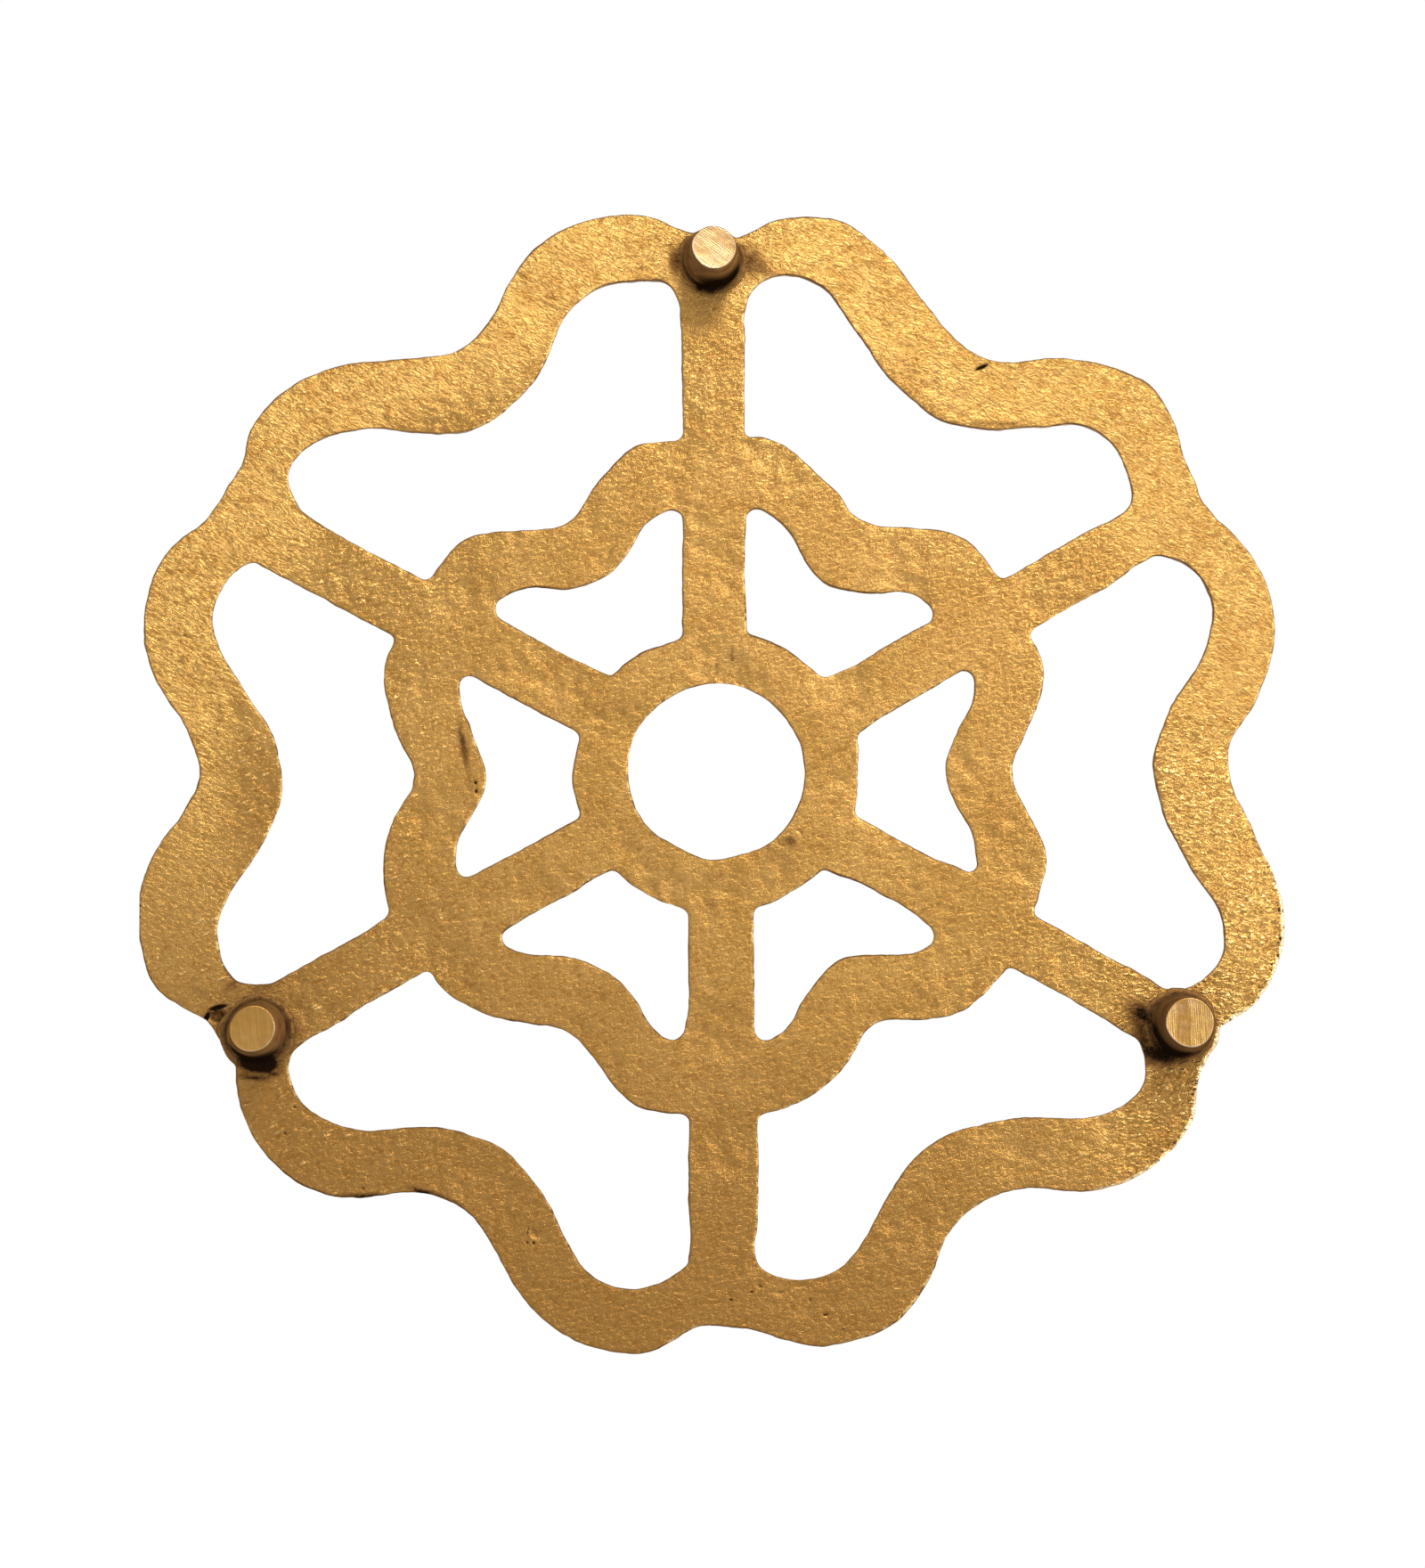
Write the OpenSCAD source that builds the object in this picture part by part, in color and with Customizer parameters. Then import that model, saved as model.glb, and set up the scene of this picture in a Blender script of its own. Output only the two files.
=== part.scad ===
// Cast brass trivet: an openwork rose plate on three brazed legs.
// The legs stand on z = 0, and the origin is under the middle of the outline.

/* [Plate] */
// Thickness of the cast plate
plate_t = 4.5; // [3.5:0.1:7]
// Bevel filed along the underside edges
edge_break = 0.4; // [0.2:0.1:0.8]
// Draft of the side walls, from the underside up to the rounding
draft_in = 0.3; // [0.1:0.05:0.6]
// Rounding of the top edges
crown_r = 1.2; // [0.6:0.1:1.8]

/* [Hub] */
// Diameter of the round hole in the middle
hub_hole_d = 27.4; // [20:0.2:34]
// Width of the ring round the hole
hub_ring_w = 8.2; // [6:0.1:11]

/* [Spokes] */
// Width of a spoke
spoke_w = 9.6; // [7.5:0.1:12]

/* [Outer rose] */
// Distance of the outer lobe centres from the hub
outer_rose_r = 70.5; // [66:0.5:78]
// Radius of the outer lobes, on the middle of the band
outer_lobe_r = 14.9; // [14:0.1:16]
// Radius of the outer valleys, on the middle of the band
outer_valley_r = 19.5; // [16:0.5:24]
// Width of the outer band
outer_band_w = 10.7; // [8:0.1:12]

/* [Inner rose] */
// Distance of the inner lobe centres from the hub
inner_rose_r = 34.3; // [33:0.1:37]
// Radius of the inner lobes, on the middle of the band
inner_lobe_r = 14; // [13:0.1:15]
// Radius of the inner valleys, on the middle of the band
inner_valley_r = 10.5; // [9:0.5:14]
// Width of the inner band
inner_band_w = 10.4; // [8:0.1:12]

/* [Corners] */
// Rounding in the corners at the foot of each window
foot_corner_r = 1.2; // [0.8:0.1:1.8]
// Rounding in the corners at the head of each window
head_corner_r = 1.8; // [1:0.1:2.4]
// Rounding of the notch between two petals
notch_r = 2.5; // [1:0.1:4]

/* [Legs] */
// Height of a leg below the plate
leg_h = 14; // [10:0.5:22]
// Diameter of a leg at its tip
leg_tip_d = 7.3; // [5.5:0.1:8.5]
// Diameter of a leg at the plate
leg_root_d = 9.6; // [8.6:0.1:10.4]
// Distance of the leg axes beyond the outer lobe centres
leg_out_w = 10.5; // [8:0.1:12]
// Diameter of the round pad that carries a leg
pad_d = 12.4; // [12:0.1:14]
// Diameter of the spigot that is set into the plate
spigot_d = 6; // [4:0.1:7]
// Length of the spigot
spigot_len = 3; // [2:0.1:3.2]
// Diameter of the braze ring at the plate
braze_d = 11.6; // [11.2:0.1:11.9]
// Height of the braze ring along the leg
braze_h = 1.4; // [0.8:0.1:2]

/* [Hidden] */
$fn = 64;

petals = 6;
pitch = 360 / petals;

// Angle of a lobe centre from the middle of its petal
outer_spread = 19.2;
inner_spread = 24.3;

// The pattern was cut by hand, so each petal and spoke is a little off the rule.
// Rows are petals from +X on. Each holds its first and its second lobe.
outer_rose_shares = [[1.025, 1.02], [0.97, 0.96], [0.975, 1.015],
                      [0.995, 1.03], [1.005, 0.99], [0.975, 1.025]];
outer_spread_shares = [[0.99, 0.96], [1.14, 0.94], [0.995, 1.05],
                       [0.98, 0.965], [1.125, 0.92], [1.025, 1.025]];
outer_lobe_shares = [[1, 1.02], [1.11, 1.05], [0.955, 0.92],
                     [1.05, 0.985], [1.035, 1], [1.15, 0.935]];
outer_width_shares = [[1.09, 0.97], [0.94, 0.99], [0.935, 0.94],
                      [0.905, 0.86], [1, 1.03], [0.925, 0.94]];
inner_rose_shares = [[1.03, 1], [1.015, 0.965], [0.965, 1],
                      [1.01, 1.01], [1.015, 0.99], [0.985, 1]];
inner_spread_shares = [[1.02, 0.93], [1.08, 0.95], [1.01, 1.07],
                       [1.01, 0.99], [1.08, 0.93], [0.98, 1.02]];
inner_lobe_shares = [[1, 1], [1, 1], [1, 1], [1, 1], [1, 1], [1, 1]];
inner_width_shares = [[1.03, 1.03], [0.95, 0.95], [0.98, 0.98],
                      [0.95, 0.95], [1.03, 1.03], [1.03, 1.03]];
// Each petal's valley on the outer and on the inner edge of its band
outer_valley_shares = [[0.92, 0.875], [1.1, 0.91], [1.3, 1.02],
                       [1.13, 0.855], [1.115, 1.04], [1.07, 0.95]];
inner_valley_shares = [[0.97, 1.01], [1.05, 0.985], [1.02, 0.995],
                       [1.05, 0.985], [0.97, 1.01], [0.97, 1.01]];
// Spokes from the first one after +X on
spoke_width_shares = [1.03, 1.02, 0.95, 0.91, 1.06, 1.01];
spoke_side_shares = [0.05, -0.03, 0.08, -0.04, -0.04, -0.12];
spoke_turns = [-2.4, -0.2, 0, -0.8, -0.7, 1.8];
notch_shares = [1, 1, 1, 1.6, 2, 1.6];
// Legs at the back, the front left and the front right
leg_spokes = [1, 3, 5];
leg_ring_shares = [0.985, 1.01, 1.005];
leg_turns = [-0.5, -1.5, 0.5];
leg_tip_shares = [0.95, 1.04, 1];
leg_root_shares = [0.94, 1, 1];
pad_shares = [0.88, 1, 1];

// The hub lies a little off the middle of the outline
hub_left = 0.46;
hub_back = 1.28;
hub_at = [-hub_left, hub_back];

hub_mid_r = hub_hole_d / 2 + hub_ring_w / 2;
hub_outer_r = hub_hole_d / 2 + hub_ring_w;
leg_ring_r = outer_rose_r + leg_out_w;
leg_tip_break = 0.25;
spigot_break = 0.4;
fit_gap = 0.05;
socket_floor_gap = 0.2;
braze_lip = 0.15;
crown_steps = 3;
braze_steps = 4;
// How far corner pieces reach into the metal, and how far cuts run past a face
bite = draft_in + crown_r + edge_break;
tip = 4 * bite;
over = 1;
// Rounds that touch overlap by this much, so that they cross cleanly
kiss = 0.02;
lead_share = 0.3;

// Edge of the casting: how far the metal stands back at each height
rim = concat([[edge_break, 0], [0, edge_break]],
             [for (i = [0:crown_steps]) let (a = 90 * i / crown_steps)
                 [draft_in + crown_r * (1 - cos(a)), plate_t - crown_r * (1 - sin(a))]]);

// The same edge carried on past both faces of the plate, in its own slope at first
last = len(rim) - 1;
function rim_past(far) = far == 0 ? rim
    : let (low = rim[0] + lead_share * (rim[0] - rim[1]), high = rim[last] + lead_share * (rim[last] - rim[last - 1]))
      concat([[low[0], -far], low], [for (i = [1:last - 1]) rim[i]], [high, [high[0], plate_t + far]]);

function reversed(v) = [for (i = [len(v) - 1:-1:0]) v[i]];
function polar(r, a) = [r * cos(a), r * sin(a)];
function unit(v) = v / norm(v);
function next(k) = (k + 1) % petals;
function before(k) = (k + petals - 1) % petals;
function spoke_turn(k) = pitch * (k + 0.5) + spoke_turns[k];
function spoke_side(k) = spoke_w * spoke_side_shares[k];

// Rose data: [ring radius, spread, lobe radius, valley radius, half width, and the shares of each]
outer_rose = [outer_rose_r, outer_spread, outer_lobe_r, outer_valley_r, outer_band_w / 2,
              outer_rose_shares, outer_spread_shares, outer_lobe_shares, outer_valley_shares,
              outer_width_shares];
inner_rose = [inner_rose_r, inner_spread, inner_lobe_r, inner_valley_r, inner_band_w / 2,
              inner_rose_shares, inner_spread_shares, inner_lobe_shares, inner_valley_shares,
              inner_width_shares];

// Centre of a petal's first (side 0) or second (side 1) lobe
function lobe_at(rose, k, side) =
    polar(rose[0] * rose[5][k][side], pitch * k + (2 * side - 1) * rose[1] * rose[6][k][side]);

// Radii on the outer (edge 1) or the inner (edge -1) edge of a band
function lobe_r(rose, k, side, edge) = rose[2] * rose[7][k][side] + edge * rose[4] * rose[9][k][side];
function valley_r(rose, k, edge) = (rose[3] - edge * rose[4]) * rose[8][k][edge > 0 ? 0 : 1];

// The valley circle touches both lobe circles, so its centre is where two larger ones cross
function valley_at(rose, k, edge) =
    crossing(lobe_at(rose, k, 0), lobe_r(rose, k, 0, edge) + valley_r(rose, k, edge),
             lobe_at(rose, k, 1), lobe_r(rose, k, 1, edge) + valley_r(rose, k, edge));

// Crossing of two circles that lies further from the hub
function crossing(a, ra, b, rb) =
    let (d = norm(b - a), e = (b - a) / d, x = (d * d + ra * ra - rb * rb) / (2 * d),
         h = third_side(ra, x), foot = a + e * x, n = [e[1], -e[0]])
    norm(foot + n * h) > norm(foot - n * h) ? foot + n * h : foot - n * h;

// A point as seen from a spoke: along it, and across it towards the given side
function from_spoke(p, k, side) =
    let (d = polar(1, spoke_turn(k))) [p * d, side * (d[0] * p[1] - d[1] * p[0])];
function to_plate(q, k, side) =
    let (d = polar(1, spoke_turn(k))) q[0] * d + side * q[1] * [-d[1], d[0]];

// Third side of a right triangle, or nothing where the first side is too short
function third_side(long, short) = sqrt(max(0, long * long - short * short));

// Straight-walled piece of the plate's thickness, or more of it
module slab(points, far = 0) {
    translate([0, 0, -far])
        linear_extrude(plate_t + 2 * far)
            polygon(points);
}

// Round metal with the edge of the casting
module disc(r, far = 0) {
    rotate_extrude()
        polygon(concat([[0, -far]], [for (p = rim_past(far)) [r - p[0], p[1]]],
                       [[0, plate_t + far]]));
}

// Round opening with the edge of the casting
module bore(r, far = over) {
    rotate_extrude()
        polygon(concat([[0, -far]], [for (p = rim_past(far)) [r + p[0], p[1]]],
                       [[0, plate_t + far]]));
}

module spoke(k, far) {
    half = spoke_w / 2 * spoke_width_shares[k];
    rotate([0, 0, spoke_turn(k)])
        translate([0, spoke_side(k), 0])
            rotate([90, 0, 90])
                linear_extrude(outer_rose_r + outer_lobe_r)
                    polygon(concat([for (p = rim_past(far)) [half - p[0], p[1]]],
                                   [for (p = reversed(rim_past(far))) [p[0] - half, p[1]]]));
}

// Fills a corner up to a round of radius f about c, between two walls that it touches at a and b
module corner_web(c, a, b, corner, f, far = 0) {
    difference() {
        slab([c, a + bite * unit(a - c), corner + tip * unit(corner - c), b + bite * unit(b - c)], far);
        translate(c)
            bore(f + kiss, far + over);
    }
}

// Corner between a spoke and a round wall that the spoke runs into, or out of
module spoke_corner(k, side, centre, r, f, hollow) {
    c = from_spoke(centre, k, side);
    e = side * spoke_side(k) + spoke_w / 2 * spoke_width_shares[k];
    gap = hollow ? r - f : r + f;
    along = c[0] + third_side(gap, c[1] - e - f);
    at = [along, e + f];
    corner = [c[0] + third_side(r, c[1] - e), e];
    corner_web(to_plate(at, k, side), to_plate([along, e], k, side),
               to_plate(c + r * unit(at - c), k, side), to_plate(corner, k, side), f, 2 * over);
}

// Room inside a petal of a rose, from spoke to spoke
module hollow(rose, k, foot) {
    first = lobe_at(rose, k, 0);
    second = lobe_at(rose, k, 1);
    first_r = lobe_r(rose, k, 0, -1);
    second_r = lobe_r(rose, k, 1, -1);
    from = spoke_turn(before(k));
    to = spoke_turn(k);
    difference() {
        intersection() {
            slab([[0, 0], polar(2 * outer_rose_r, from), polar(2 * outer_rose_r, to)], 2 * over);
            union() {
                slab([polar(foot, from), polar(rose[0], from), first, valley_at(rose, k, -1),
                      second, polar(rose[0], to), polar(foot, to)], over);
                translate(first)
                    bore(first_r);
                translate(second)
                    bore(second_r);
            }
        }
        translate(valley_at(rose, k, -1))
            disc(valley_r(rose, k, -1) + kiss, 2 * over);
        spoke(before(k), 2 * over);
        spoke(k, 2 * over);
        spoke_corner(before(k), 1, first, first_r, head_corner_r, true);
        spoke_corner(k, -1, second, second_r, head_corner_r, true);
    }
}

// Window between the hub and the inner rose
module inner_window(k) {
    difference() {
        hollow(inner_rose, k, hub_mid_r);
        disc(hub_outer_r, 2 * over);
        spoke_corner(before(k), 1, [0, 0], hub_outer_r, foot_corner_r, false);
        spoke_corner(k, -1, [0, 0], hub_outer_r, foot_corner_r, false);
    }
}

// Window between the inner and the outer rose
module outer_window(k) {
    first = lobe_at(inner_rose, k, 0);
    second = lobe_at(inner_rose, k, 1);
    first_r = lobe_r(inner_rose, k, 0, 1);
    second_r = lobe_r(inner_rose, k, 1, 1);
    difference() {
        hollow(outer_rose, k, inner_rose_r);
        translate(first)
            disc(first_r, 2 * over);
        translate(second)
            disc(second_r, 2 * over);
        difference() {
            slab([first, valley_at(inner_rose, k, 1), second], 2 * over);
            translate(valley_at(inner_rose, k, 1))
                bore(valley_r(inner_rose, k, 1) + kiss, 3 * over);
        }
        spoke_corner(before(k), 1, first, first_r, foot_corner_r, false);
        spoke_corner(k, -1, second, second_r, foot_corner_r, false);
    }
}

// Round at the bottom of the notch between a petal and the next one
module notch(k) {
    a = lobe_at(outer_rose, k, 1);
    b = lobe_at(outer_rose, next(k), 0);
    ra = lobe_r(outer_rose, k, 1, 1);
    rb = lobe_r(outer_rose, next(k), 0, 1);
    f = notch_r * notch_shares[k];
    c = crossing(a, ra + f, b, rb + f);
    corner_web(c, a + ra * unit(c - a), b + rb * unit(c - b), crossing(a, ra, b, rb), f);
}

// The whole plate without its windows
module petal_plate() {
    difference() {
        union() {
            slab([for (k = [0:petals - 1])
                      each [lobe_at(outer_rose, k, 0), valley_at(outer_rose, k, 1),
                            lobe_at(outer_rose, k, 1)]]);
            for (k = [0:petals - 1]) {
                for (side = [0, 1])
                    translate(lobe_at(outer_rose, k, side))
                        disc(lobe_r(outer_rose, k, side, 1));
                notch(k);
            }
            for (i = [0:2])
                translate(leg_at(i))
                    disc(pad_d / 2 * pad_shares[i]);
        }
        for (k = [0:petals - 1])
            translate(valley_at(outer_rose, k, 1))
                bore(valley_r(outer_rose, k, 1) + kiss);
    }
}

function leg_root_r(i) = leg_root_d / 2 * leg_root_shares[i];
function leg_at(i) = polar(leg_ring_r * leg_ring_shares[i],
                           pitch * (leg_spokes[i] + 0.5) + leg_turns[i]);

module rose_grille() {
    color("darkgoldenrod")
        translate([hub_at[0], hub_at[1], leg_h])
            difference() {
                petal_plate();
                bore(hub_hole_d / 2);
                for (k = [0:petals - 1]) {
                    outer_window(k);
                    inner_window(k);
                }
                for (i = [0:2])
                    translate([leg_at(i)[0], leg_at(i)[1], -over])
                        cylinder(h = over + spigot_len + socket_floor_gap,
                                 r = spigot_d / 2 + fit_gap);
            }
}

module at_leg(i) {
    translate([hub_at[0] + leg_at(i)[0], hub_at[1] + leg_at(i)[1], 0])
        children();
}

// Tapered peg with its spigot, standing on its tip
module leg(i) {
    tip_r = leg_tip_d / 2 * leg_tip_shares[i];
    top = leg_h + spigot_len;
    color("goldenrod")
        at_leg(i)
            rotate_extrude()
                polygon([[0, 0], [tip_r - leg_tip_break, 0], [tip_r, leg_tip_break],
                         [leg_root_r(i), leg_h], [spigot_d / 2, leg_h],
                         [spigot_d / 2, top - spigot_break], [spigot_d / 2 - spigot_break, top],
                         [0, top]]);
}

// Hollow-sided ring of braze in the corner between the leg and the plate
module braze(i) {
    tip_r = leg_tip_d / 2 * leg_tip_shares[i];
    root_r = leg_root_r(i) + fit_gap;
    foot_r = root_r - (leg_root_r(i) - tip_r) * braze_h / leg_h;
    outer_r = braze_d / 2 * pad_shares[i];
    reach = outer_r - foot_r - braze_lip;
    rise = braze_h - braze_lip;
    color("peru")
        at_leg(i)
            rotate_extrude()
                polygon(concat([[root_r, leg_h], [foot_r, leg_h - braze_h]],
                               [for (n = [0:braze_steps]) let (a = 90 * n / braze_steps)
                                   [foot_r + braze_lip + reach * (1 - cos(a)),
                                    leg_h - braze_h + rise * sin(a)]],
                               [[outer_r, leg_h]]));
}

module leg_back() leg(0);
module leg_front_left() leg(1);
module leg_front_right() leg(2);
module braze_back() braze(0);
module braze_front_left() braze(1);
module braze_front_right() braze(2);

rose_grille();
leg_back();
leg_front_left();
leg_front_right();
braze_back();
braze_front_left();
braze_front_right();
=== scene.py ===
import math

import bmesh
import bpy
import numpy as np
from mathutils import Matrix, Vector
from mathutils.geometry import delaunay_2d_cdt
from mathutils.kdtree import KDTree


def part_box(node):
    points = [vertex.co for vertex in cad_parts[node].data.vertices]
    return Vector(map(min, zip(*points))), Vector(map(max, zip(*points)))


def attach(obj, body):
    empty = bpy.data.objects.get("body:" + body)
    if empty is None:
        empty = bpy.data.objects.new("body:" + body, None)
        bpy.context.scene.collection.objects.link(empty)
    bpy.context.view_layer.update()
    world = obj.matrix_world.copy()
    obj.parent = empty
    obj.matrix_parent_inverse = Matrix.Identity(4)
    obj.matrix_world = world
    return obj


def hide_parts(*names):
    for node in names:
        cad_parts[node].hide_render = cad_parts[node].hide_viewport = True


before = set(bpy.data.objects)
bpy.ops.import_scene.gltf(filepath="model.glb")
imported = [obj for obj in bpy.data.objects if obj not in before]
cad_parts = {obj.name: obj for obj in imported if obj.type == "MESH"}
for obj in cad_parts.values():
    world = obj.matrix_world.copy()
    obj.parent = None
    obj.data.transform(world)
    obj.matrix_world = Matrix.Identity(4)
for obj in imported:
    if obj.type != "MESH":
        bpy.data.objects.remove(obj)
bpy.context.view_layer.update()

mm = 0.001
print("frame loaded")


# shader helpers

class Value:
    # a shader socket that takes part in plain sums and products
    def __init__(self, shader, socket):
        self.shader, self.socket = shader, socket

    def maths(self, operation, *others):
        return self.shader.node("ShaderNodeMath", {"operation": operation},
                                dict(enumerate(others)))

    def __add__(self, other):
        return self.maths("ADD", self, other)

    def __radd__(self, other):
        return self.maths("ADD", other, self)

    def __sub__(self, other):
        return self.maths("SUBTRACT", self, other)

    def __rsub__(self, other):
        return self.maths("SUBTRACT", other, self)

    def __mul__(self, other):
        return self.maths("MULTIPLY", self, other)

    def __rmul__(self, other):
        return self.maths("MULTIPLY", other, self)

    def above(self, low, high):
        # 0 below low, 1 over high, smooth between
        return self.shader.node("ShaderNodeMapRange", {"interpolation_type": "SMOOTHSTEP"},
                                {"Value": self, "From Min": low, "From Max": high})

    def most(self, other):
        return self.maths("MAXIMUM", self, other)


class Shader:
    def __init__(self, name, owner=None):
        self.material = owner or bpy.data.materials.new(name)
        self.material.use_nodes = True
        self.tree = self.material.node_tree
        self.tree.nodes.clear()

    def node(self, kind, settings=None, inputs=None, output=0):
        made = self.tree.nodes.new(kind)
        for key, value in (settings or {}).items():
            setattr(made, key, value)
        for key, value in (inputs or {}).items():
            if isinstance(value, Value):
                self.tree.links.new(value.socket, made.inputs[key])
            elif value is not None:
                made.inputs[key].default_value = value
        return Value(self, made.outputs[output]) if made.outputs else made

    def stretched(self, vector, stretch=(1, 1, 1), turn=0.0):
        return self.node("ShaderNodeMapping", None,
                         {"Vector": vector, "Rotation": (0, 0, turn), "Scale": stretch})

    def place(self, stretch=(1, 1, 1), turn=0.0):
        # position on the object in millimetres, turned and then stretched for grain that runs one way
        spot = self.node("ShaderNodeTexCoord", output="Object")
        inMm = self.stretched(spot, (1 / mm, 1 / mm, 1 / mm), turn)
        return self.stretched(inMm, stretch)

    def noise(self, where, size, detail=2.0, roughness=0.5, distortion=0.0, output=0):
        # grain of about that size in millimetres, from 0 to 1
        return self.node("ShaderNodeTexNoise", None,
                         {"Vector": where, "Scale": 1 / size, "Detail": detail,
                          "Roughness": roughness, "Distortion": distortion}, output)

    def dots(self, where, spacing, reach, share):
        # scattered round bumps, that far apart, from 0 to 1, on that share of the places
        sown = {"Vector": where, "Scale": 1 / spacing}
        far = self.node("ShaderNodeTexVoronoi", None, sown, output="Distance")
        luck = self.split(self.node("ShaderNodeTexVoronoi", None, sown, output="Color"), 0)
        return (1 - far.above(0, reach)) * luck.above(1 - share, 1.15 - share)

    def mix(self, factor, low, high):
        return self.node("ShaderNodeMix", {"data_type": "RGBA"},
                         {0: factor, 6: self.colour(low), 7: self.colour(high)}, output=2)

    def blend(self, factor, low, high):
        # the same for plain numbers
        return self.node("ShaderNodeMix", {"data_type": "FLOAT"}, {0: factor, 2: low, 3: high})

    def colour(self, value):
        return value if isinstance(value, Value) else (*value, 1)

    def split(self, vector, axis):
        return self.node("ShaderNodeSeparateXYZ", None, {0: vector}, output=axis)

    def length(self, vector):
        return self.node("ShaderNodeVectorMath", {"operation": "LENGTH"}, {0: vector}, output="Value")

    def own(self, name):
        # a number that the mesh holds at each point
        return self.node("ShaderNodeAttribute", {"attribute_name": name}, output="Fac")

    def seen(self):
        # 1 for what the camera sees, straight or in metal and glass
        rays = [self.node("ShaderNodeLightPath", output=kind)
                for kind in ("Is Camera Ray", "Is Glossy Ray", "Is Transmission Ray")]
        return rays[0].most(rays[1]).most(rays[2])

    def glow(self, kind, level):
        # plain white light of that strength, for the world or for a surface
        return self.node(kind, None, {"Color": (1, 1, 1, 1), "Strength": level})

    def oneOf(self, factor, low, high):
        return self.node("ShaderNodeMixShader", None, {0: factor, 1: low, 2: high})

    def bump(self, height, depth):
        # height from 0 to 1, depth in millimetres
        return self.node("ShaderNodeBump", None,
                         {"Height": height, "Strength": 1.0, "Distance": depth * mm})

    def finish(self, **sockets):
        shader = self.node("ShaderNodeBsdfPrincipled", None, sockets)
        self.node("ShaderNodeOutputMaterial", None, {"Surface": shader})
        return self.material


def varied(amounts, part):
    # the first amount all over, and the second on top of it where part is 1
    base, more = amounts
    return base + more * part


# camera, light and floor

cameraSetup = {
    # millimetres; the photograph looks up at the underside
    "eye": (24.14, -62.52, -906.0),
    "target": (0.14, -0.52, 14.0),
    "lens": 150.47,
    "sensor": 36.0,
    "clip": (0.05, 20.0),  # metres
}

lampSetup = {
    # name: place in metres, size in metres, watts, colour
    "keyBelow": ((-0.14, 0.54, -0.76), 0.20, 5.0, (1.0, 0.97, 0.92)),
    "sideBelow": ((-0.56, 0.10, -0.74), 0.20, 3.2, (1.0, 0.97, 0.92)),
    "fillBelow": ((0.50, -0.50, -0.66), 0.60, 1.0, (1.0, 0.98, 0.95)),
    "keyAbove": ((-0.45, -0.40, 0.85), 0.45, 8.0, (1.0, 0.98, 0.95)),
    "fillAbove": ((0.70, 0.35, 0.60), 0.60, 5.0, (1.0, 0.99, 0.97)),
}

roomSetup = {
    # metres
    "sky": 0.5,  # strength of the light from all round
    "backdrop": 1.0,  # strength of the white behind the object
    "floorSize": 4.0,
    "floorDrop": 0.0002,  # gap under the feet
    "floorColour": (0.9, 0.9, 0.9, 1),
    "floorFade": (0.2, 0.8),  # from the middle, where the floor turns into the backdrop
}


def makeCamera(setup):
    data = bpy.data.cameras.new("camera")
    data.lens, data.sensor_width = setup["lens"], setup["sensor"]
    data.sensor_fit = "HORIZONTAL"
    data.clip_start, data.clip_end = setup["clip"]
    camera = bpy.data.objects.new("camera", data)
    eye, target = Vector(setup["eye"]) * mm, Vector(setup["target"]) * mm
    ahead = (target - eye).normalized()
    right = ahead.cross(Vector((0, 1, 0))).normalized()
    up = right.cross(ahead)
    turn = Matrix((right, up, -ahead)).transposed().to_4x4()
    camera.matrix_world = Matrix.Translation(eye) @ turn
    bpy.context.scene.collection.objects.link(camera)
    bpy.context.scene.camera = camera


def makeLamps(setup):
    for name, (place, size, watts, colour) in setup.items():
        data = bpy.data.lights.new(name, "AREA")
        data.shape, data.size, data.energy, data.color = "DISK", size, watts, colour
        lamp = bpy.data.objects.new(name, data)
        lamp.location = place
        lamp.rotation_mode = "QUATERNION"
        lamp.rotation_quaternion = (-Vector(place)).to_track_quat("-Z", "Y")
        bpy.context.scene.collection.objects.link(lamp)


def makeWorld(setup):
    world = bpy.data.worlds.new("studio")
    bpy.context.scene.world = world
    paint = Shader("studio", world)
    sky = paint.glow("ShaderNodeBackground", setup["sky"])
    white = paint.glow("ShaderNodeBackground", setup["backdrop"])
    both = paint.oneOf(paint.seen(), sky, white)
    paint.node("ShaderNodeOutputWorld", None, {"Surface": both})


def makeFloor(setup):
    mesh = bpy.data.meshes.new("floor")
    h = setup["floorSize"] / 2
    mesh.from_pydata([(-h, -h, 0), (h, -h, 0), (h, h, 0), (-h, h, 0)], [], [(0, 1, 2, 3)])
    floor = bpy.data.objects.new("floor", mesh)
    floor.location.z = -setup["floorDrop"]
    bpy.context.scene.collection.objects.link(floor)
    paint = Shader("paleFloor")
    pale = paint.node("ShaderNodeBsdfDiffuse", None, {"Color": setup["floorColour"]})
    white = paint.glow("ShaderNodeEmission", setup["backdrop"])
    far = paint.length(paint.node("ShaderNodeTexCoord", output="Object"))
    pale = paint.oneOf(far.above(*setup["floorFade"]) * paint.seen(), pale, white)
    # the photograph looks up from under the floor, so its underside is clear and it blocks no light
    under = paint.node("ShaderNodeNewGeometry", output="Backfacing")
    clear = paint.node("ShaderNodeBsdfTransparent")
    both = paint.oneOf(under, pale, clear)
    paint.node("ShaderNodeOutputMaterial", None, {"Surface": both})
    mesh.materials.append(paint.material)
    floor.visible_shadow = floor.visible_glossy = floor.visible_diffuse = False


makeCamera(cameraSetup)
makeLamps(lampSetup)
makeWorld(roomSetup)
makeFloor(roomSetup)
bpy.context.scene.view_settings.view_transform = "Standard"
print("camera, lamps and floor made")


# mesh helpers

def waves(points, size, seed, count=48, spread=(0.7, 1.3)):
    # smooth random field with lumps of about that size, mean 0 and height about 1
    draw = np.random.default_rng(seed)
    ways = draw.normal(size=(count, points.shape[1]))
    ways /= np.linalg.norm(ways, axis=1)[:, None]
    ways *= (2 * np.pi / size) * draw.uniform(*spread, (count, 1))
    phase = draw.uniform(0, 2 * np.pi, count)
    total = np.zeros(len(points))
    for way, start in zip(ways, phase):
        total += np.cos(points @ way + start)
    return total * math.sqrt(2 / count)


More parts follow.
